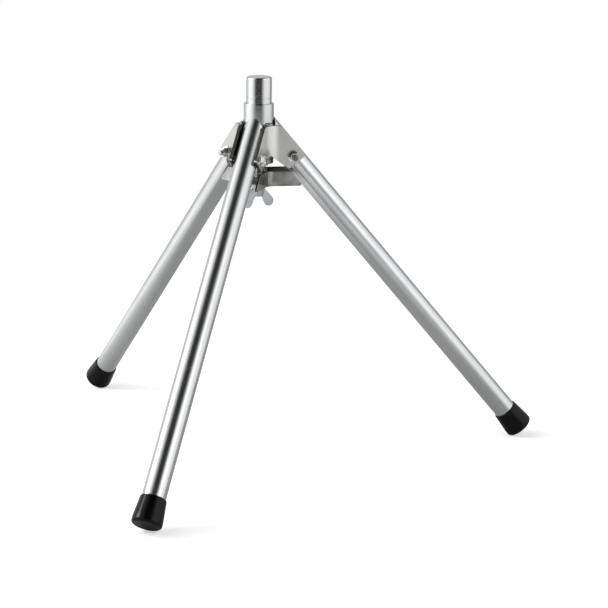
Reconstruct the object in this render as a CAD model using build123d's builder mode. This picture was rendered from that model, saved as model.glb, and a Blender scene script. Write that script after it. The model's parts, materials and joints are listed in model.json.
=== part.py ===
from build123d import *
from math import acos, atan2, cos, degrees, radians, sin, tan
import os

# Folding steel tripod stand with a plain round spigot on top.
# Millimetres. +Z up, origin on the stand's axis at floor level. Leg 1 points towards -Y,
# legs 2 and 3 follow every 120 degrees. The legs fold inwards about bolts held between
# three bent plates welded to the centre post, and a sliding spreader steadies them.

leg_azimuths = [-90.0, 30.0, 150.0]
nut_sides = [1, -1, 1]   # side of each leg that the pivot nut is on, 1 towards the next leg
mid_turn = 60.0          # from a leg to the middle of the next plate

# Legs
splay = 40.15            # leg axis from the vertical
pivot_r = 46.8           # pivot bolt axis from the stand's axis
leg_reach = 545.95       # pivot to the foot's flat end, along the leg
tube_d = 32.0
tube_wall = 1.5
leg_blank_rise = 90.0    # tube above the pivot, before it is cut along the post
stop_gap = 0.3           # upper end of the leg to the post, at the open stop

# Rubber feet
foot_base_d = 41.0
foot_top_d = 35.6
foot_len = 38.0
foot_floor = 7.0         # rubber under the steel disc
foot_edge_r = 4.0
foot_lip_r = 1.6
foot_waist = 9.0         # height of the straight part above the flat end
disc_t = 2.0

# Centre post and spigot
post_d = 42.4
post_wall = 2.6
post_bottom_drop = 10.2  # post's lower end below the pivot height
post_top_rise = 74.2     # shoulder above the pivot height
spigot_d = 36.0
spigot_rise = 36.6       # spigot above the shoulder
spigot_edge = 2.2
spigot_ring_rise = 7.0
spigot_ring_depth = 0.35
spigot_tail = 26.0       # part of the spigot inside the post
press_gap = 0.02
plug_len = 14.0
post_chamfer = 0.8
plug_chamfer = 0.8

# Hub plates
hub_gap = 16.3           # inner face to the leg's mid plane
hub_plate_t = 4.0
hub_bend_r = 30.0        # inner face of the bend
hub_top_w = 13.5         # sloping edge from the leg axis
hub_end = 9.6            # end edge beyond the pivot
hub_bottom_w = 16.0      # lower corner from the leg axis
hub_top_rise = 44.6      # level top edge above the pivot
hub_notch_rise = 3.0     # lower edge at the bend, above the pivot
hub_notch_s = 13.0
hub_top_corner_r = 6.0
hub_end_corner_r = 4.0
weld_width = 7.0
weld_root = 2.0          # past the place where plate and post come nearest
weld_margin = 3.0        # short of the plate's edges at each end
blank_reach = 90.0       # bent blanks, before their outlines are cut
blank_height = 110.0
blank_below = 20.0       # blank below the post's lower end
cut_reach = 60.0         # cuts run this far to each side

# Pivot fasteners (M8)
bolt_d = 8.0
bolt_hole_d = 8.2
bolt_head_af = 13.0
bolt_head_h = 5.3
bolt_len = 55.0
bolt_tip_chamfer = 0.8
head_flat_inset = 0.4    # flat on the head inside its corners' chamfer
head_cut_w = 3.0
head_cut_depth = 1.4
head_cut_slope = 60.0
nut_hex_h = 6.0
nut_collar_d = 11.6
nut_collar_h = 2.0
nut_bore_d = 8.04
washer_d = 17.0
washer_hole_d = 8.4
washer_t = 2.0
sleeve_d = 12.0
sleeve_bore = 8.1
sleeve_half = 16.2
bore_margin = 2.0        # the sleeve's bore is cut this far past the tube

# Spreader
band_gap = 16.7
band_t = 3.0
band_top_drop = 20.2     # below the pivot height
band_h = 21.4
band_bend_r = 15.4
band_overlap = 0.5       # end of the band past the line of the tube's inner side
band_corner_r = 2.5
star_t = 5.0
star_reach = 29.5

# Clamp screw (M10)
rod_d = 10.0
rod_chamfer = 1.0
rod_recess = 1.0         # rod's lower end inside the grip
rod_hole_d = 10.1
spreader_hole_d = 10.12
spreader_washer_d = 22.0
spreader_washer_t = 2.0
wing_hub_top_d = 18.0
wing_hub_bottom_d = 14.0
wing_hub_h = 15.0
wing_hub_rim = 3.0       # straight upper part of the hub
wing_t = 4.4
wing_root_s = 6.5        # small end of a wing, from the axis
wing_root_drop = 6.0     # and below the hub's top
wing_root_r = 4.0
wing_lobe_s = 18.2       # round end of a wing
wing_lobe_drop = 23.4
wing_lobe_r = 7.2
wing_azimuth = 55.0
rod_engagement = 36.0    # rod inside the post, above its lower end

# Derived places
foot_lift = (foot_base_d / 2 - foot_edge_r) * sin(radians(splay)) + foot_edge_r * (1 - cos(radians(splay)))
pivot_z = leg_reach * cos(radians(splay)) + foot_lift
post_bottom = pivot_z - post_bottom_drop
post_top = pivot_z + post_top_rise
spigot_top = post_top + spigot_rise
post_r = post_d / 2
post_bore_r = post_r - post_wall
tube_r = tube_d / 2
band_top = pivot_z - band_top_drop
band_bottom = band_top - band_h
plate_outer = hub_gap + hub_plate_t
wing_top = band_bottom - spreader_washer_t
tube_end = leg_reach - foot_floor - disc_t

os.makedirs("parts", exist_ok=True)


def write(piece, name):
    """Label a finished piece and write its STEP file."""
    piece.part.label = name
    export_step(piece.part, "parts/" + name + ".step")


def outwards(azimuth):
    """Level unit vector from the stand's axis towards a leg."""
    return Vector(cos(radians(azimuth)), sin(radians(azimuth)), 0)


def sideways(azimuth):
    """Level unit vector square to a leg, towards the next leg anticlockwise."""
    return Vector(-sin(radians(azimuth)), cos(radians(azimuth)), 0)


def pivot_point(azimuth):
    return outwards(azimuth) * pivot_r + Vector(0, 0, pivot_z)


def down_leg(azimuth):
    """Unit vector from the pivot towards the foot."""
    return outwards(azimuth) * sin(radians(splay)) - Vector(0, 0, cos(radians(splay)))


def plan_plane(azimuth, height):
    """Level plane with x along a leg and y towards the next leg."""
    return Plane(origin=(0, 0, height), x_dir=outwards(azimuth), z_dir=(0, 0, 1))


def side_plane(azimuth):
    """Vertical plane through a leg's axis, with x outwards and y up."""
    return Plane(origin=(0, 0, 0), x_dir=outwards(azimuth), z_dir=-sideways(azimuth))


def leg_section_plane(azimuth, reach):
    """Plane square to a leg, reach below its pivot, with the normal towards the foot."""
    origin = pivot_point(azimuth) + down_leg(azimuth) * reach
    return Plane(origin=origin, x_dir=sideways(azimuth), z_dir=down_leg(azimuth))


def foot_plane(azimuth, reach):
    """Plane through a leg's axis, with x sideways and y up the leg from reach below the pivot."""
    origin = pivot_point(azimuth) + down_leg(azimuth) * reach
    return Plane(origin=origin, x_dir=sideways(azimuth), z_dir=down_leg(azimuth).cross(sideways(azimuth)))


def pivot_plane(azimuth, offset, side=1):
    """Plane square to the pivot bolt, offset towards one side of the leg, facing that way."""
    origin = pivot_point(azimuth) + sideways(azimuth) * (offset * side)
    return Plane(origin=origin, x_dir=outwards(azimuth), z_dir=sideways(azimuth) * side)


def along_leg(reach, rise):
    """Point (s, z) in the leg's plane: reach below the pivot, rise square to the leg axis."""
    lean = radians(splay)
    s = pivot_r + reach * sin(lean) + rise * cos(lean)
    z = pivot_z - reach * cos(lean) + rise * sin(lean)
    return s, z


# ---------------------------------------------------------------- centre post and spigot

with BuildPart() as center_post:
    with BuildSketch(Plane.XY.offset(post_bottom)):
        Circle(post_r)
        Circle(post_bore_r, mode=Mode.SUBTRACT)
    extrude(amount=post_top - post_bottom)
    chamfer(center_post.faces().sort_by(Axis.Z)[-1].edges().sort_by(SortBy.RADIUS)[-1], post_chamfer)
write(center_post, "center_post")

with BuildPart() as spigot:
    with BuildSketch(Plane.XZ):
        with BuildLine():
            ring_low = post_top + spigot_ring_rise
            Polyline(
                (0, post_top - spigot_tail),
                (post_bore_r - press_gap, post_top - spigot_tail),
                (post_bore_r - press_gap, post_top),
                (spigot_d / 2, post_top),
                (spigot_d / 2, ring_low),
                (spigot_d / 2 - spigot_ring_depth, ring_low + spigot_ring_depth),
                (spigot_d / 2, ring_low + 2 * spigot_ring_depth),
                (spigot_d / 2, spigot_top - spigot_edge),
            )
            CenterArc((spigot_d / 2 - spigot_edge, spigot_top - spigot_edge), spigot_edge, 0, 90)
            Polyline(
                (spigot_d / 2 - spigot_edge, spigot_top),
                (0, spigot_top),
                (0, post_top - spigot_tail),
            )
        make_face()
    revolve(axis=Axis.Z)
write(spigot, "spigot")

with BuildPart() as post_plug:
    with BuildSketch(Plane.XY.offset(post_bottom)):
        Circle(post_bore_r - press_gap)
        Circle(rod_hole_d / 2, mode=Mode.SUBTRACT)
    extrude(amount=plug_len)
    chamfer(post_plug.faces().sort_by(Axis.Z)[0].edges().sort_by(SortBy.RADIUS)[0], plug_chamfer)
write(post_plug, "post_plug")


def side_reach(height, rise):
    """Distance s, at a height, of the line that lies rise from the leg axis."""
    lean = radians(splay)
    return pivot_r + (pivot_z - height) * tan(lean) + rise / cos(lean)


def teardrop(small, small_r, large, large_r):
    """Closed outline round two circles in line, with straight flanks between them."""
    step = Vector(large[0] - small[0], large[1] - small[1], 0)
    heading = degrees(atan2(step.Y, step.X))
    flank = degrees(acos((small_r - large_r) / step.length))
    with BuildLine() as outline:
        round_end = CenterArc(large, large_r, heading - flank, 2 * flank)
        small_end = CenterArc(small, small_r, heading + flank, 360 - 2 * flank)
        Line(round_end @ 1, small_end @ 0)
        Line(small_end @ 1, round_end @ 0)
    return outline.line


# ---------------------------------------------------------------- bent plates between the legs

def half_plate_sketch(azimuth, height, gap, thickness, bend_r):
    """Half of a bent plate in plan, from its mid plane out along the leg at azimuth.

    The wing stands gap from the leg's mid plane. The bend turns 60 degrees in all, and its
    centre lies outside the plate, so the bend comes nearest to the stand's axis.
    """
    centre_off = gap + bend_r
    centre_s = centre_off / tan(radians(mid_turn))
    with BuildSketch(plan_plane(azimuth, height)) as half:
        with BuildLine():
            inner = Line((blank_reach, gap), (centre_s, gap))
            near = CenterArc((centre_s, centre_off), bend_r, 270, -(90 - mid_turn))
            far = CenterArc((centre_s, centre_off), bend_r - thickness, 180 + mid_turn, 90 - mid_turn)
            Line(near @ 1, far @ 0)
            Polyline(far @ 1, (blank_reach, gap + thickness), inner @ 0)
        make_face()
    return half.sketch


def plate_mirror(azimuth):
    """Vertical plane through the middle of the plate that follows the leg at azimuth."""
    return Plane(origin=(0, 0, 0), x_dir=outwards(azimuth + mid_turn), z_dir=sideways(azimuth + mid_turn))


hub_top = pivot_z + hub_top_rise
hub_notch = pivot_z + hub_notch_rise
hub_wing_outline = [
    (0, hub_top),
    (side_reach(hub_top, hub_top_w), hub_top),
    along_leg(hub_end, hub_top_w),
    along_leg(hub_end, -hub_bottom_w),
    (hub_notch_s, hub_notch),
    (0, hub_notch),
]

for number, azimuth in enumerate(leg_azimuths, start=1):
    with BuildPart() as hub_plate:
        add(half_plate_sketch(azimuth, post_bottom - blank_below, hub_gap, hub_plate_t, hub_bend_r))
        extrude(amount=blank_height)
        with BuildSketch(side_plane(azimuth)) as outline:
            with BuildLine():
                Polyline(*hub_wing_outline, close=True)
            make_face()
            fillet(outline.vertices().sort_by(Axis.X)[3], hub_top_corner_r)
            fillet(outline.vertices().sort_by(Axis.X)[-2:], hub_end_corner_r)
        extrude(amount=cut_reach, both=True, mode=Mode.INTERSECT)
        with BuildSketch(pivot_plane(azimuth, 0)):
            Circle(bolt_hole_d / 2)
        extrude(amount=cut_reach, mode=Mode.SUBTRACT)
        mirror(about=plate_mirror(azimuth))
    write(hub_plate, f"hub_plate_{number}")

    bend_centre = (hub_gap + hub_bend_r) / sin(radians(mid_turn))
    with BuildPart() as plate_weld:
        with BuildSketch(plan_plane(azimuth + mid_turn, hub_notch + weld_margin)):
            with Locations((post_r, 0)):
                Rectangle(2 * (bend_centre - hub_bend_r - post_r + weld_root), weld_width)
            Circle(post_r, mode=Mode.SUBTRACT)
            with Locations((bend_centre, 0)):
                Circle(hub_bend_r, mode=Mode.SUBTRACT)
        extrude(amount=hub_top - hub_notch - 2 * weld_margin)
    write(plate_weld, f"plate_weld_{number}")


# ---------------------------------------------------------------- pivot fasteners

for number, (azimuth, side) in enumerate(zip(leg_azimuths, nut_sides), start=1):
    seat = plate_outer + washer_t
    tip_axis = Axis(pivot_point(azimuth), sideways(azimuth) * side)

    with BuildPart() as pivot_bolt:
        with BuildSketch(pivot_plane(azimuth, seat, -side)):
            RegularPolygon(bolt_head_af / 2, 6, major_radius=False)
        extrude(amount=bolt_head_h)
        with BuildSketch(pivot_plane(azimuth, -seat, side)):
            Circle(bolt_d / 2)
        extrude(amount=bolt_len)
        chamfer(pivot_bolt.faces().sort_by(tip_axis)[-1].edges(), bolt_tip_chamfer)
        with BuildSketch(pivot_plane(azimuth, seat + bolt_head_h, -side)):
            Circle(bolt_head_af / 2 + head_cut_w)
            Circle(bolt_head_af / 2 - head_flat_inset, mode=Mode.SUBTRACT)
        extrude(amount=-head_cut_depth, taper=-head_cut_slope, mode=Mode.SUBTRACT)
    write(pivot_bolt, f"pivot_bolt_{number}")

    with BuildPart() as pivot_nut:
        with BuildSketch(pivot_plane(azimuth, seat, side)):
            RegularPolygon(bolt_head_af / 2, 6, major_radius=False)
        extrude(amount=nut_hex_h)
        with BuildSketch(pivot_plane(azimuth, seat + nut_hex_h, side)):
            Circle(nut_collar_d / 2)
        extrude(amount=nut_collar_h)
        with BuildSketch(pivot_plane(azimuth, seat, side)):
            Circle(nut_bore_d / 2)
        extrude(amount=nut_hex_h + nut_collar_h, mode=Mode.SUBTRACT)
    write(pivot_nut, f"pivot_nut_{number}")

    for place, face_side in (("head", -side), ("nut", side)):
        with BuildPart() as washer:
            with BuildSketch(pivot_plane(azimuth, plate_outer, face_side)):
                Circle(washer_d / 2)
                Circle(washer_hole_d / 2, mode=Mode.SUBTRACT)
            extrude(amount=washer_t)
        write(washer, f"{place}_washer_{number}")


# ---------------------------------------------------------------- legs

for number, azimuth in enumerate(leg_azimuths, start=1):
    with BuildPart() as leg_tube:
        with BuildSketch(leg_section_plane(azimuth, -leg_blank_rise)):
            Circle(tube_r)
            Circle(tube_r - tube_wall, mode=Mode.SUBTRACT)
        extrude(amount=leg_blank_rise + tube_end)
        stop_face = Plane(origin=outwards(azimuth) * (post_r + stop_gap), z_dir=outwards(azimuth))
        split(bisect_by=stop_face, keep=Keep.TOP)
        with BuildSketch(pivot_plane(azimuth, -tube_r - bore_margin)):
            Circle(sleeve_d / 2)
        extrude(amount=2 * (tube_r + bore_margin), mode=Mode.SUBTRACT)
    write(leg_tube, f"leg_tube_{number}")

    with BuildPart() as pivot_sleeve:
        with BuildSketch(pivot_plane(azimuth, -sleeve_half)):
            Circle(sleeve_d / 2 - press_gap)
            Circle(sleeve_bore / 2, mode=Mode.SUBTRACT)
        extrude(amount=2 * sleeve_half)
    write(pivot_sleeve, f"pivot_sleeve_{number}")

    base_r = foot_base_d / 2
    top_r = foot_top_d / 2
    bore_r = tube_r + press_gap
    section = foot_plane(azimuth, leg_reach)
    with BuildPart() as rubber_foot:
        with BuildSketch(section):
            with BuildLine():
                Line((0, 0), (base_r - foot_edge_r, 0))
                edge = CenterArc((base_r - foot_edge_r, foot_edge_r), foot_edge_r, -90, 90)
                lip = CenterArc((top_r - foot_lip_r, foot_len - foot_lip_r), foot_lip_r, 0, 90)
                Polyline(edge @ 1, (base_r, foot_waist), lip @ 0)
                Polyline(lip @ 1, (bore_r, foot_len), (bore_r, foot_floor), (0, foot_floor), (0, 0))
            make_face()
        revolve(axis=Axis(section.origin, section.y_dir))
    write(rubber_foot, f"rubber_foot_{number}")

    with BuildPart() as foot_disc:
        with BuildSketch(leg_section_plane(azimuth, tube_end)):
            Circle(tube_r - press_gap)
        extrude(amount=disc_t)
    write(foot_disc, f"foot_disc_{number}")


# ---------------------------------------------------------------- spreader

band_lip_w = band_overlap - tube_r
band_outline = [
    (0, band_bottom),
    (side_reach(band_bottom, band_lip_w), band_bottom),
    (side_reach(band_top, band_lip_w), band_top),
    (0, band_top),
]

for number, azimuth in enumerate(leg_azimuths, start=1):
    with BuildPart() as spreader_band:
        add(half_plate_sketch(azimuth, band_bottom, band_gap, band_t, band_bend_r))
        extrude(amount=band_h)
        with BuildSketch(side_plane(azimuth)) as outline:
            with BuildLine():
                Polyline(*band_outline, close=True)
            make_face()
            fillet(outline.vertices().sort_by(Axis.X)[2:], band_corner_r)
        extrude(amount=cut_reach, both=True, mode=Mode.INTERSECT)
        mirror(about=plate_mirror(azimuth))
    write(spreader_band, f"spreader_band_{number}")

band_bend_centre = (band_gap + band_bend_r) / sin(radians(mid_turn))
with BuildPart() as spreader_plate:
    with BuildSketch(Plane.XY.offset(band_bottom)):
        for azimuth in leg_azimuths:
            with Locations(Location((0, 0, 0), (0, 0, azimuth))):
                Rectangle(star_reach, 2 * (band_gap - press_gap), align=(Align.MIN, Align.CENTER))
        Circle(band_bend_centre - band_bend_r)
        with PolarLocations(band_bend_centre, len(leg_azimuths), leg_azimuths[0] + mid_turn):
            Circle(band_bend_r + press_gap, mode=Mode.SUBTRACT)
        Circle(spreader_hole_d / 2, mode=Mode.SUBTRACT)
    extrude(amount=star_t)
write(spreader_plate, "spreader_plate")

with BuildPart() as spreader_washer:
    with BuildSketch(Plane.XY.offset(wing_top)):
        Circle(spreader_washer_d / 2)
        Circle(spreader_hole_d / 2, mode=Mode.SUBTRACT)
    extrude(amount=spreader_washer_t)
write(spreader_washer, "spreader_washer")


# ---------------------------------------------------------------- clamp screw

rod_low = wing_top - wing_hub_h + rod_recess
with BuildPart() as clamp_rod:
    with BuildSketch(Plane.XY.offset(rod_low)):
        Circle(rod_d / 2)
    extrude(amount=post_bottom + rod_engagement - rod_low)
    chamfer(clamp_rod.edges().group_by(Axis.Z)[-1], rod_chamfer)
write(clamp_rod, "clamp_rod")

with BuildPart() as wing_grip:
    with BuildSketch(Plane.XZ):
        with BuildLine():
            Polyline(
                (0, wing_top - wing_hub_h),
                (wing_hub_bottom_d / 2, wing_top - wing_hub_h),
                (wing_hub_top_d / 2, wing_top - wing_hub_rim),
                (wing_hub_top_d / 2, wing_top),
                (0, wing_top),
                close=True,
            )
        make_face()
    revolve(axis=Axis.Z)
    for turn in (0, 180):
        with BuildSketch(side_plane(wing_azimuth + turn)):
            with BuildLine():
                add(teardrop(
                    (wing_root_s, wing_top - wing_root_drop), wing_root_r,
                    (wing_lobe_s, wing_top - wing_lobe_drop), wing_lobe_r,
                ))
            make_face()
        extrude(amount=wing_t / 2, both=True)
    with BuildSketch(Plane.XY.offset(rod_low)):
        Circle(rod_d / 2 + press_gap)
    extrude(amount=wing_hub_h, mode=Mode.SUBTRACT)
write(wing_grip, "wing_grip")
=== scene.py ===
import json
from math import atan2, cos, pi, radians, sin, sqrt

import bmesh
import bpy
from mathutils import Matrix, Vector


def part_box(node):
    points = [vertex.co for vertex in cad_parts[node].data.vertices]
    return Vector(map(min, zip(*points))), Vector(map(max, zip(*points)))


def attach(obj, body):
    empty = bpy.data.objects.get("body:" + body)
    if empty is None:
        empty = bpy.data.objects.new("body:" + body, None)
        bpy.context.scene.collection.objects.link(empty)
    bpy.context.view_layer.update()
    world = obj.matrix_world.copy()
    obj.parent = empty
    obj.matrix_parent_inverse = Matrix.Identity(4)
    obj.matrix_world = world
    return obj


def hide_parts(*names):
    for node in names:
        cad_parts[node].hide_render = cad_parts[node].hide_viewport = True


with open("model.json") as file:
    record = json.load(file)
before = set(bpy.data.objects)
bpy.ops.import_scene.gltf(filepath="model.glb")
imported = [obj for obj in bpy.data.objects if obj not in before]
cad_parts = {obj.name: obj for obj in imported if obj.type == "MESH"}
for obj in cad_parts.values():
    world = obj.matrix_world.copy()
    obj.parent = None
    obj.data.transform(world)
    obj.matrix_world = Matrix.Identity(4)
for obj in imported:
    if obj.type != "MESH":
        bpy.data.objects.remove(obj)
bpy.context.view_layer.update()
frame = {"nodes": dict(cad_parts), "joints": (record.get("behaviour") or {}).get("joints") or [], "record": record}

# Looks for a folding steel tripod stand. Metres, +Z up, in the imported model's frame.

NODES = frame["nodes"]
RECORD = frame["record"]
BODY_OF = {node: body for body, nodes in RECORD["behaviour"]["bodies"].items() for node in nodes}
SLOT_OF = {part["node"]: part["material_slot"] for part in RECORD["subparts"]}
JOINTS = {joint["name"]: joint for joint in frame["joints"]}
LEGS = (1, 2, 3)
UP = Vector((0, 0, 1))
WHITE = (1, 1, 1, 1)

# ------------------------------------------------------------------ camera

VIEW_AZIMUTH = radians(19.09)
VIEW_PITCH = radians(13.87)
VIEW_ROLL = radians(0.85)
VIEW_DISTANCE = 2.9336
FOCAL_IN_FRAMES = 3.367             # focal length over the width of the picture
AIM_RIGHT = 0.0672                  # aim point, right of the stand's axis
AIM_HEIGHT = 0.21378
SENSOR = 36.0                       # mm, as Blender counts it
CLIP_START = 0.05
CLIP_END = 50

LEVEL_RIGHT = Vector((cos(VIEW_AZIMUTH), sin(VIEW_AZIMUTH), 0))
LEVEL_NEAR = Vector((sin(VIEW_AZIMUTH), -cos(VIEW_AZIMUTH), 0))


def add_camera():
    """Camera at the height, turn and distance from which the stand is seen."""
    ahead = -LEVEL_NEAR * cos(VIEW_PITCH) - UP * sin(VIEW_PITCH)
    up = LEVEL_RIGHT.cross(ahead)
    right = LEVEL_RIGHT * cos(VIEW_ROLL) + up * sin(VIEW_ROLL)
    top = up * cos(VIEW_ROLL) - LEVEL_RIGHT * sin(VIEW_ROLL)
    place = LEVEL_RIGHT * AIM_RIGHT + UP * AIM_HEIGHT - ahead * VIEW_DISTANCE
    turn = Matrix((right, top, -ahead)).transposed().to_4x4()
    data = bpy.data.cameras.new("camera")
    data.sensor_width = SENSOR
    data.lens = FOCAL_IN_FRAMES * SENSOR
    data.clip_start = CLIP_START
    data.clip_end = CLIP_END
    camera = bpy.data.objects.new("camera", data)
    camera.matrix_world = Matrix.Translation(place) @ turn
    bpy.context.collection.objects.link(camera)
    bpy.context.scene.camera = camera


# ------------------------------------------------------------------ node helpers

def put(tree, kind, inputs=None, **settings):
    """Add a node, set its settings, and set or link its inputs by name or number."""
    node = tree.nodes.new("ShaderNode" + kind)
    for key, value in settings.items():
        setattr(node, key, value)
    for key, value in (inputs or {}).items():
        if isinstance(value, bpy.types.NodeSocket):
            tree.links.new(value, node.inputs[key])
        else:
            node.inputs[key].default_value = value
    return node


def ramp(tree, value, low, high, to_low, to_high, smooth=False):
    """Value from low..high mapped to to_low..to_high and held beyond."""
    node = put(tree, "MapRange", {"Value": value, "From Min": low, "From Max": high,
                                  "To Min": to_low, "To Max": to_high},
               interpolation_type="SMOOTHSTEP" if smooth else "LINEAR")
    return node.outputs["Result"]


def calc(tree, operation, first, second):
    return put(tree, "Math", {0: first, 1: second}, operation=operation).outputs[0]


def blend_values(tree, share, first, second):
    return put(tree, "Mix", {0: share, 2: first, 3: second}, data_type="FLOAT").outputs[0]


def reach_along(tree, vector, direction):
    """How far the vector reaches in a direction."""
    node = put(tree, "VectorMath", {0: vector, 1: direction}, operation="DOT_PRODUCT")
    return node.outputs["Value"]


# ------------------------------------------------------------------ stage and light

# A ramp is (from, to, value at from, value at to).
FLOOR_RADIUS = 2.2
FLOOR_SIDES = 96
FLOOR_COLOR = (0.9, 0.9, 0.9, 1)
FLOOR_ROUGH = 0.7
FLOOR_GLOSS = 0.1
FLOOR_GLOW = 0.46                   # keeps the pale floor even
FLOOR_LEFT = (-0.95, -0.1, 1.62, 0.48)   # floor's brightness in the steel, by metres to the right
FLOOR_FRONT = (0.3, 1.7, 0.0, 1.15)      # and what is added to it, by metres to the front
CONTACT_SHADE = 0.16                # reach of the shade round the feet, as the steel shows it
CONTACT_SAMPLES = 4
KEY_PLACE = (-2.34, -0.92, 1.64)
KEY_AIM = (0, 0, 0.2)
KEY_SIZE = 0.9
KEY_POWER = 30
FILL_PLACE = (2.4, -0.7, 1.3)
FILL_AIM = (0, 0, 0.3)
FILL_SIZE = 1.4
FILL_POWER = 5
STRIP_DARK = 0.03
LEFT_LEAN = 0.27                    # the left wall reaches further over with height
LEFT_WALL = (0.38, 1.0, 0.0, 1.75)
RIGHT_WALL = (0.34, 0.88, 0.0, 1.45)
RIGHT_LOW = (-0.2, 0.0, 0.85, 1.0)  # the right wall is dimmer below the horizon
BEHIND = (-1.0, 1.0, 0.9, 0.36)
BEHIND_SHARE = (-0.7, -0.1, 1.0, 0.0)


def add_floor():
    """Round pale table top, duller in reflections than seen directly."""
    step = 2 * pi / FLOOR_SIDES
    rim = [(FLOOR_RADIUS * cos(i * step), FLOOR_RADIUS * sin(i * step), 0) for i in range(FLOOR_SIDES)]
    mesh = bpy.data.meshes.new("floor")
    mesh.from_pydata(rim, [], [range(FLOOR_SIDES)])
    floor_object = bpy.data.objects.new("floor", mesh)
    bpy.context.collection.objects.link(floor_object)
    material = bpy.data.materials.new("floor")
    material.use_nodes = True
    tree = material.node_tree
    shader = tree.nodes["Principled BSDF"]
    shader.inputs["Base Color"].default_value = FLOOR_COLOR
    shader.inputs["Roughness"].default_value = FLOOR_ROUGH
    shader.inputs["Specular IOR Level"].default_value = FLOOR_GLOSS
    shader.inputs["Emission Color"].default_value = WHITE
    shader.inputs["Emission Strength"].default_value = FLOOR_GLOW
    place = put(tree, "TexCoord").outputs["Object"]
    across = reach_along(tree, place, LEVEL_RIGHT)
    near = reach_along(tree, place, LEVEL_NEAR)
    lit = calc(tree, "ADD", ramp(tree, across, *FLOOR_LEFT), ramp(tree, near, *FLOOR_FRONT))
    shade = put(tree, "AmbientOcclusion", {"Distance": CONTACT_SHADE}, samples=CONTACT_SAMPLES)
    dull = put(tree, "Emission", {"Strength": calc(tree, "MULTIPLY", lit, shade.outputs["AO"])})
    rays = put(tree, "LightPath")
    mix = put(tree, "MixShader", {0: rays.outputs["Is Glossy Ray"], 1: shader.outputs[0],
                                  2: dull.outputs[0]})
    tree.links.new(mix.outputs[0], tree.nodes["Material Output"].inputs["Surface"])
    mesh.materials.append(material)


def add_area(name, place, aim, size, power):
    """Square soft light."""
    data = bpy.data.lights.new(name, "AREA")
    data.size = size
    data.energy = power
    light = bpy.data.objects.new(name, data)
    toward = (Vector(aim) - Vector(place)).normalized()
    turn = toward.to_track_quat("-Z", "Y").to_matrix().to_4x4()
    light.matrix_world = Matrix.Translation(place) @ turn
    bpy.context.collection.objects.link(light)


def add_world():
    """Studio: a dark strip from in front to overhead, white walls left and right, grey behind."""
    world = bpy.data.worlds.new("studio")
    bpy.context.scene.world = world
    world.use_nodes = True
    tree = world.node_tree
    way = put(tree, "TexCoord").outputs["Generated"]
    across = reach_along(tree, way, LEVEL_RIGHT)
    near = reach_along(tree, way, LEVEL_NEAR)
    rise = put(tree, "SeparateXYZ", {0: way}).outputs["Z"]
    leftward = calc(tree, "SUBTRACT", calc(tree, "MULTIPLY", rise, LEFT_LEAN), across)
    left_wall = ramp(tree, leftward, *LEFT_WALL, smooth=True)
    right_wall = calc(tree, "MULTIPLY", ramp(tree, across, *RIGHT_WALL, smooth=True),
                      ramp(tree, rise, *RIGHT_LOW))
    front = calc(tree, "ADD", calc(tree, "ADD", left_wall, right_wall), STRIP_DARK)
    share = ramp(tree, near, *BEHIND_SHARE, smooth=True)
    room = blend_values(tree, share, front, ramp(tree, across, *BEHIND))
    seen = put(tree, "LightPath").outputs["Is Camera Ray"]
    background = tree.nodes["Background"]
    tree.links.new(blend_values(tree, seen, room, 1.0), background.inputs["Strength"])
    background.inputs["Color"].default_value = WHITE


# ------------------------------------------------------------------ materials

LINE_DETAIL = 5.0
LINE_MIX = 0.62
LINE_RANGE = (0.25, 0.75)           # noise values that count as the lines' low and high
LINE_SHADE = (0.93, 1.06)           # brightness across the lines
PATCH_DETAIL = 3.0
PATCH_RANGE = (0.3, 0.7)
SPECK_DETAIL = 2.0
SPECKS_TO_PATCH = 22
SPECK_CUT = (0.60, 0.72, 0.0, 1.0)
SCUFFED_PATCH = (0.5, 0.62)
COAT_ROUGH = 0.12


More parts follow.
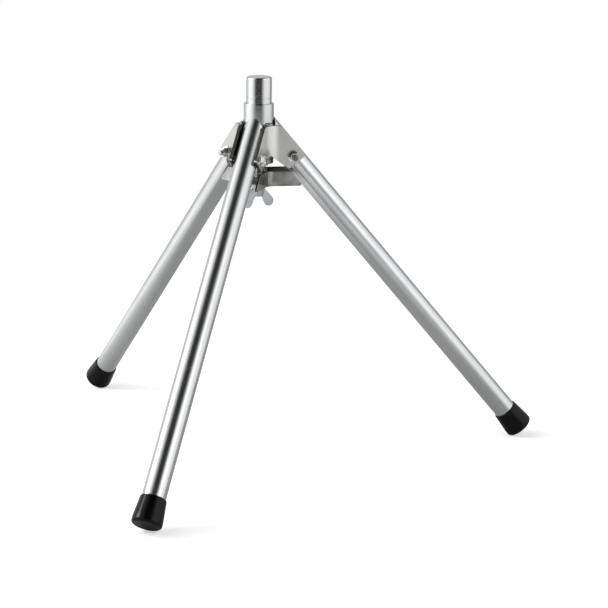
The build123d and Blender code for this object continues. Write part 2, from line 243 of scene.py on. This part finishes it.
def surface(name, color, tint, rough, spread, axis, across, along, depth,
            metallic=1.0, blotch=18.0, wear=0.0, coat=0.0, gloss=0.5):
    """Procedural finish.

    Fine lines run along the axis where across is larger than along, and round it where it is
    smaller. Both are in features per metre. Larger soft blotches vary colour and roughness, and
    wear adds a few scattered scuffs. depth is the height of the lines in metres.
    """
    material = bpy.data.materials.new(name)
    material.use_nodes = True
    tree = material.node_tree
    shader = tree.nodes["Principled BSDF"]
    shader.inputs["Metallic"].default_value = metallic
    shader.inputs["Specular IOR Level"].default_value = gloss
    shader.inputs["Coat Weight"].default_value = coat
    shader.inputs["Coat Roughness"].default_value = COAT_ROUGH
    place = put(tree, "TexCoord").outputs["Object"]
    turn = Vector(axis).to_track_quat("Z", "Y").to_euler()
    lined = put(tree, "Mapping", {"Vector": place, "Rotation": turn,
                                  "Scale": (1 / across, 1 / across, 1 / along)},
                vector_type="TEXTURE").outputs[0]
    lines = put(tree, "TexNoise", {"Vector": lined, "Scale": 1.0, "Detail": LINE_DETAIL,
                                   "Roughness": LINE_MIX}).outputs["Fac"]
    patches = put(tree, "TexNoise", {"Vector": place, "Scale": blotch,
                                     "Detail": PATCH_DETAIL}).outputs["Fac"]
    specks = put(tree, "TexNoise", {"Vector": place, "Scale": blotch * SPECKS_TO_PATCH,
                                    "Detail": SPECK_DETAIL}).outputs["Fac"]
    scuffs = calc(tree, "MULTIPLY", ramp(tree, specks, *SPECK_CUT),
                  ramp(tree, patches, *SCUFFED_PATCH, 0.0, wear))
    base = put(tree, "Mix", {0: ramp(tree, patches, *PATCH_RANGE, 0.0, 1.0), 6: (*color, 1),
                             7: (*tint, 1)}, data_type="RGBA").outputs[2]
    toned = put(tree, "HueSaturation", {"Color": base,
                                        "Value": ramp(tree, lines, *LINE_RANGE, *LINE_SHADE)})
    tree.links.new(toned.outputs[0], shader.inputs["Base Color"])
    fine = ramp(tree, lines, *LINE_RANGE, rough - spread, rough + spread)
    broad = ramp(tree, patches, *PATCH_RANGE, -spread / 2, spread / 2)
    roughness = calc(tree, "ADD", calc(tree, "ADD", fine, broad), scuffs)
    tree.links.new(roughness, shader.inputs["Roughness"])
    bump = put(tree, "Bump", {"Height": lines, "Strength": 1.0, "Distance": depth})
    tree.links.new(bump.outputs[0], shader.inputs["Normal"])
    return material


TUBE_ROUGH = {1: 0.23, 2: 0.30, 3: 0.28}
PLATE_TONE_AND_PAINTED_LIGHT = {0: 0.50, 1: 0.64, 2: 0.54, 3: 0.45}   # 0 is the spreader plate and the welds; hub plates 1 to 3 are each lighter or darker as painted light and shade
# Spreader bands darkened as painted shade and painted dark reflection, band 1 most.
BAND_TONE_AND_PAINTED_SHADE = {1: 0.38, 2: 0.52, 3: 0.52}
# Pivot bolts 1 and 2 darkened as painted shade.
BOLT_TONE_AND_PAINTED_SHADE = {1: 0.30, 2: 0.24, 3: 0.52}


def leg_frame(number):
    """Pivot point and the sideways, down-the-leg and upward-square directions of a leg."""
    joint = JOINTS[f"leg_fold_{number}"]
    side = Vector(joint["axis"]).normalized()
    outward = side.cross(UP)
    splay = radians(joint["range_deg"][1])
    down = outward * sin(splay) - UP * cos(splay)
    return Vector(joint["pos_m"]), side, down, side.cross(-down)


def grey(tone, share, blue):
    """Warm grey at a share of the tone, with a smaller share of it in blue."""
    return tone * share, tone * share, tone * blue


def make_materials():
    """One finish for each node group, turned to that group's own axis."""
    finishes = {
        "turned": surface("turned_steel", (0.60, 0.605, 0.61), (0.54, 0.545, 0.55),
                          rough=0.15, spread=0.035, axis=UP, across=14, along=2600,
                          depth=1.2e-6, wear=0.05),
        "post": surface("plated_post", (0.60, 0.605, 0.61), (0.53, 0.535, 0.54),
                        rough=0.19, spread=0.04, axis=UP, across=900, along=9,
                        depth=1.0e-6, wear=0.06),
        # Near-black cut edges: painted shade for the shadow gaps and dark reflections along the plates' edges.
        "edge": surface("sheared_edge_painted_shade", (0.075, 0.075, 0.072), (0.045, 0.045, 0.043),
                        rough=0.42, spread=0.07, axis=UP, across=1600, along=160,
                        depth=1.2e-5, blotch=160, wear=0.1),
        "cast": surface("cast_zinc", (0.50, 0.51, 0.52), (0.42, 0.425, 0.43),
                        rough=0.40, spread=0.06, axis=UP, across=700, along=700,
                        depth=1.2e-5, blotch=60, wear=0.06),
        "rod": surface("plated_rod", (0.58, 0.585, 0.58), (0.50, 0.50, 0.49),
                       rough=0.26, spread=0.05, axis=UP, across=40, along=900,
                       depth=1.5e-6, wear=0.08),
        "weld": surface("weld_metal", (0.20, 0.195, 0.19), (0.46, 0.46, 0.45),
                        rough=0.20, spread=0.06, axis=UP, across=500, along=500,
                        depth=1.0e-5, blotch=140, wear=0.1),
    }
    # Hub plates 1 to 3 take painted light and shade: each plate's tone is raised or lowered to stand in for how
    # brightly it is lit.
    for number, tone in PLATE_TONE_AND_PAINTED_LIGHT.items():
        finishes[f"plate_{number}"] = surface(
            f"plated_plate_painted_light_{number}", grey(tone, 1, 0.98), grey(tone, 0.88, 0.86),
            rough=0.33, spread=0.05, axis=UP, across=240, along=1500,
            depth=3.0e-6, blotch=30, wear=0.08)
    for number in LEGS:
        _, side, down, _ = leg_frame(number)
        finishes[f"tube_{number}"] = surface(
            f"drawn_tube_{number}", (0.56, 0.565, 0.57), (0.51, 0.515, 0.52),
            rough=TUBE_ROUGH[number], spread=0.035, axis=down, across=1300, along=5,
            depth=1.0e-6, blotch=12, wear=0.05)
        finishes[f"fastener_{number}"] = surface(
            f"zinc_fastener_{number}", (0.80, 0.805, 0.80), (0.58, 0.58, 0.57),
            rough=0.16, spread=0.04, axis=side, across=300, along=1800,
            depth=2.0e-6, blotch=110, wear=0.06)
        # The band's low tone and dark tint, down to 0.3 of the tone, are painted shade and painted dark
        # reflection.
        tone = BAND_TONE_AND_PAINTED_SHADE[number]
        finishes[f"band_{number}"] = surface(
            f"polished_band_painted_shade_{number}", grey(tone, 1, 0.98), grey(tone, 0.3, 0.29),
            rough=0.17, spread=0.05, axis=UP, across=200, along=1300,
            depth=2.0e-6, blotch=48, wear=0.1)
        # Each bolt's tone carries painted shade.
        tone = BOLT_TONE_AND_PAINTED_SHADE[number]
        finishes[f"bolt_{number}"] = surface(
            f"plated_bolt_painted_shade_{number}", grey(tone, 1, 0.98), grey(tone, 0.6, 0.59),
            rough=0.22, spread=0.05, axis=side, across=300, along=1800,
            depth=2.0e-6, blotch=110, wear=0.08)
        finishes[f"rubber_{number}"] = surface(
            f"moulded_rubber_{number}", (0.0012, 0.0012, 0.0013), (0.0026, 0.0026, 0.0026),
            rough=0.22, spread=0.04, axis=down, across=900, along=900,
            depth=6.0e-6, metallic=0.0, blotch=40, wear=0.10, coat=0.06, gloss=0.12)
    return finishes


# ------------------------------------------------------------------ pieces

def show(name, mesh, finish, body, replaced=()):
    """Link a finished mesh as a piece that rides on a body."""
    mesh.materials.append(finish)
    piece = bpy.data.objects.new(name, mesh)
    bpy.context.collection.objects.link(piece)
    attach(piece, body)
    if replaced:
        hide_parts(*replaced)
    return piece


def show_for(node, mesh, finish):
    """Link a finished mesh in place of a CAD node."""
    return show(mesh.name, mesh, finish, BODY_OF[node], (node,))


MERGE_GAP = 2e-6
FLAT_ANGLE = radians(0.3)
SHARP_ANGLE = radians(32)           # edges sharper than this are rounded
BEVEL_STEPS = 2
CUT_EDGE_RISE = 0.25                # cut edges face up or down by more than this


def merged_copy(node):
    """The node's mesh with its split corners joined and its flat faces whole."""
    work = bmesh.new()
    work.from_mesh(NODES[node].data)
    bmesh.ops.remove_doubles(work, verts=work.verts, dist=MERGE_GAP)
    bmesh.ops.dissolve_limit(work, angle_limit=FLAT_ANGLE, verts=work.verts, edges=work.edges)
    return work


def soften(node, finish, width, edge_painted_shade=None):
    """Replace a CAD node by the same shape with its sharp edges rounded.

    With an edge finish, the cut edges of an upright plate take that near-black finish, a painted shade.
    """
    work = merged_copy(node)
    edges = [e for e in work.edges if e.is_manifold and e.calc_face_angle() > SHARP_ANGLE]
    bmesh.ops.bevel(work, geom=edges, offset=width, segments=BEVEL_STEPS, profile=0.5,
                    affect="EDGES", clamp_overlap=True)
    work.normal_update()
    for face in work.faces:
        face.smooth = True
        face.material_index = 1 if edge_painted_shade and abs(face.normal.z) > CUT_EDGE_RISE else 0
    mesh = bpy.data.meshes.new(node + "_finish")
    work.to_mesh(mesh)
    work.free()
    piece = show_for(node, mesh, finish)
    if edge_painted_shade:
        mesh.materials.append(edge_painted_shade)
    piece.modifiers.new("normals", "WEIGHTED_NORMAL").keep_sharp = True


CAST_VOXEL = 0.0004
CAST_ROUNDS = 6
CAST_FACTOR = 0.5


def cast(node, finish):
    """Replace a CAD node by the same shape with soft cast corners."""
    work = merged_copy(node)
    mesh = bpy.data.meshes.new(node + "_finish")
    work.to_mesh(mesh)
    work.free()
    piece = show_for(node, mesh, finish)
    remesh = piece.modifiers.new("remesh", "REMESH")
    remesh.mode = "VOXEL"
    remesh.voxel_size = CAST_VOXEL
    remesh.use_smooth_shade = True
    soft = piece.modifiers.new("soft", "SMOOTH")
    soft.iterations = CAST_ROUNDS
    soft.factor = CAST_FACTOR


def ring_mesh(name, rings, closed):
    """Mesh through rings of points, joined in order and, if closed, last to first."""
    count = len(rings[0])
    points = [point for ring in rings for point in ring]
    last = len(rings) if closed else len(rings) - 1
    faces = []
    for r in range(last):
        here, there = r * count, (r + 1) % len(rings) * count
        for i in range(count):
            after = (i + 1) % count
            faces.append((here + i, here + after, there + after, there + i))
    if not closed:
        faces.append(tuple(reversed(range(count))))
        faces.append(tuple(range((len(rings) - 1) * count, len(rings) * count)))
    mesh = bpy.data.meshes.new(name)
    mesh.from_pydata(points, [], faces)
    work = bmesh.new()
    work.from_mesh(mesh)
    bmesh.ops.recalc_face_normals(work, faces=work.faces)
    for face in work.faces:
        face.smooth = len(face.verts) == 4
    work.to_mesh(mesh)
    work.free()
    return mesh


TUBE_R = 0.016
TUBE_WALL = 0.0015
TUBE_EDGE = 0.00035                 # rounding of the cut ends
TUBE_SIDES = 128
TUBE_CREASE = radians(40)
POST_R = 0.0212
STOP_GAP = 0.0003
HALF_DISC = 0.001                   # half the thickness of a foot disc


def drawn_tube(number, finish):
    """Leg tube with a smooth round wall, cut upright where it stops against the post."""
    pivot, side, down, rise = leg_frame(number)
    outward = side.cross(UP)
    node = f"leg_tube_{number}"
    disc_centre = sum(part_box(f"foot_disc_{number}"), Vector()) / 2
    low = (disc_centre - pivot).dot(down) - HALF_DISC
    stop = POST_R + STOP_GAP - pivot.dot(outward)

    def ring(radius, end, inset):
        points = []
        for i in range(TUBE_SIDES):
            angle = 2 * pi * i / TUBE_SIDES
            spoke = (side * cos(angle) + rise * sin(angle)) * radius
            cut = (stop - spoke.dot(outward)) / down.dot(outward)
            reach = cut + inset if end == "top" else low - inset
            points.append(pivot + spoke + down * reach)
        return points

    inner = TUBE_R - TUBE_WALL
    rings = [
        ring(inner, "top", TUBE_EDGE), ring(inner + TUBE_EDGE, "top", 0),
        ring(TUBE_R - TUBE_EDGE, "top", 0), ring(TUBE_R, "top", TUBE_EDGE),
        ring(TUBE_R, "bottom", TUBE_EDGE), ring(TUBE_R - TUBE_EDGE, "bottom", 0),
        ring(inner, "bottom", 0),
    ]
    mesh = ring_mesh(node + "_finish", rings, closed=True)
    mesh.set_sharp_from_angle(angle=TUBE_CREASE)
    show_for(node, mesh, finish)


ROD_R = 0.005
ROD_PITCH = 0.0015
ROD_CHAMFER = 0.001
THREAD_DEPTH = 0.0009
THREAD_STEPS = 8                    # rings to each turn
THREAD_SIDES = 48
FLANK_SLOPE = 2.6
FLANK_START = 0.15                  # leaves the crest flat


def threaded_rod(node, finish):
    """Round rod with a real right-hand thread and a chamfered top."""
    low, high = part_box(node)
    count = int((high.z - low.z) / ROD_PITCH * THREAD_STEPS)
    rings = []
    for r in range(count + 1):
        z = low.z + (high.z - low.z) * r / count
        chamfer = max(0.0, z - (high.z - ROD_CHAMFER))
        ring = []
        for i in range(THREAD_SIDES):
            turn = i / THREAD_SIDES
            phase = (z / ROD_PITCH - turn) % 1.0
            flank = min(1.0, max(0.0, abs(phase - 0.5) * FLANK_SLOPE - FLANK_START))
            radius = min(ROD_R - THREAD_DEPTH * flank, ROD_R - chamfer)
            ring.append((radius * cos(2 * pi * turn), radius * sin(2 * pi * turn), z))
        rings.append(ring)
    show_for(node, ring_mesh(node + "_finish", rings, closed=False), finish)


BEAD_R = 0.0042
BEAD_PLACE = 0.0229                 # bead's centre line from the stand's axis
BEAD_RISE = 0.0036                  # beyond the end of the weld inside the bend
BEAD_SPAN = radians(27)             # round the post
BEAD_RINGS = 44
BEAD_SIDES = 20
BEAD_HEIGHT = 0.8                   # over its width
BEAD_RIPPLES = 5
BEAD_RIPPLE_DEPTH = 0.0006
RIPPLE_POWER = 0.6                  # below 1, narrow valleys between wide ripples
END_POWER = 4                       # how late the bead's ends close in
END_LEFT = 0.02                     # square of the size left at the very ends


def weld_bead(name, azimuth, height, finish):
    """Short rippled bead that follows the post where a plate meets it."""
    rings = []
    for r in range(BEAD_RINGS + 1):
        share = r / BEAD_RINGS
        angle = azimuth + BEAD_SPAN * (share - 0.5)
        end = sqrt(max(END_LEFT, 1 - (2 * share - 1) ** END_POWER))
        ripple = abs(sin(pi * BEAD_RIPPLES * share)) ** RIPPLE_POWER
        size = (BEAD_R - BEAD_RIPPLE_DEPTH * (1 - ripple)) * end
        out = Vector((cos(angle), sin(angle), 0))
        centre = out * BEAD_PLACE + UP * height
        turns = [2 * pi * i / BEAD_SIDES for i in range(BEAD_SIDES)]
        rings.append([centre + out * size * cos(turn) + UP * size * BEAD_HEIGHT * sin(turn)
                      for turn in turns])
    show(name, ring_mesh(name, rings, closed=False), finish, "hub")


PLATE_ROUND = 0.0006
BAND_ROUND = 0.0005
FASTENER_ROUND = 0.00028
TURNED_ROUND = 0.0003


def finish_name(node):
    """The finish that a CAD node takes."""
    slot = SLOT_OF[node]
    number = node[-1]
    if slot == "foot_rubber":
        return f"rubber_{number}"
    if slot == "tube_steel":
        return f"tube_{number}"
    if slot == "plate_steel":
        return "plate_0"
    if slot == "polished_steel":
        return "turned" if node == "spigot" else "post"
    if slot == "cast_zinc":
        return "cast"
    return f"fastener_{number}" if number.isdigit() else "rod"


def build():
    finishes = make_materials()
    for node, item in NODES.items():
        item.data.materials.clear()
        item.data.materials.append(finishes[finish_name(node)])
    for number in LEGS:
        drawn_tube(number, finishes[f"tube_{number}"])
        soften(f"hub_plate_{number}", finishes[f"plate_{number}"], PLATE_ROUND, finishes["edge"])
        soften(f"spreader_band_{number}", finishes[f"band_{number}"], BAND_ROUND, finishes["edge"])
        soften(f"pivot_bolt_{number}", finishes[f"bolt_{number}"], FASTENER_ROUND)
        for kind in ("pivot_nut", "head_washer", "nut_washer"):
            soften(f"{kind}_{number}", finishes[f"fastener_{number}"], FASTENER_ROUND)
        low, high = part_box(f"plate_weld_{number}")
        middle = (low + high) / 2
        azimuth = atan2(middle.y, middle.x)
        for place, height in (("top", high.z + BEAD_RISE), ("bottom", low.z - BEAD_RISE)):
            weld_bead(f"weld_bead_{place}_{number}", azimuth, height, finishes["weld"])
    soften("spreader_plate", finishes["plate_0"], BAND_ROUND)
    soften("spreader_washer", finishes["rod"], TURNED_ROUND)
    soften("center_post", finishes["post"], TURNED_ROUND)
    cast("wing_grip", finishes["cast"])
    threaded_rod("clamp_rod", finishes["rod"])


add_camera()
add_floor()
add_world()
add_area("key", KEY_PLACE, KEY_AIM, KEY_SIZE, KEY_POWER)
add_area("fill", FILL_PLACE, FILL_AIM, FILL_SIZE, FILL_POWER)
build()

bpy.context.scene.view_settings.view_transform = "Standard"
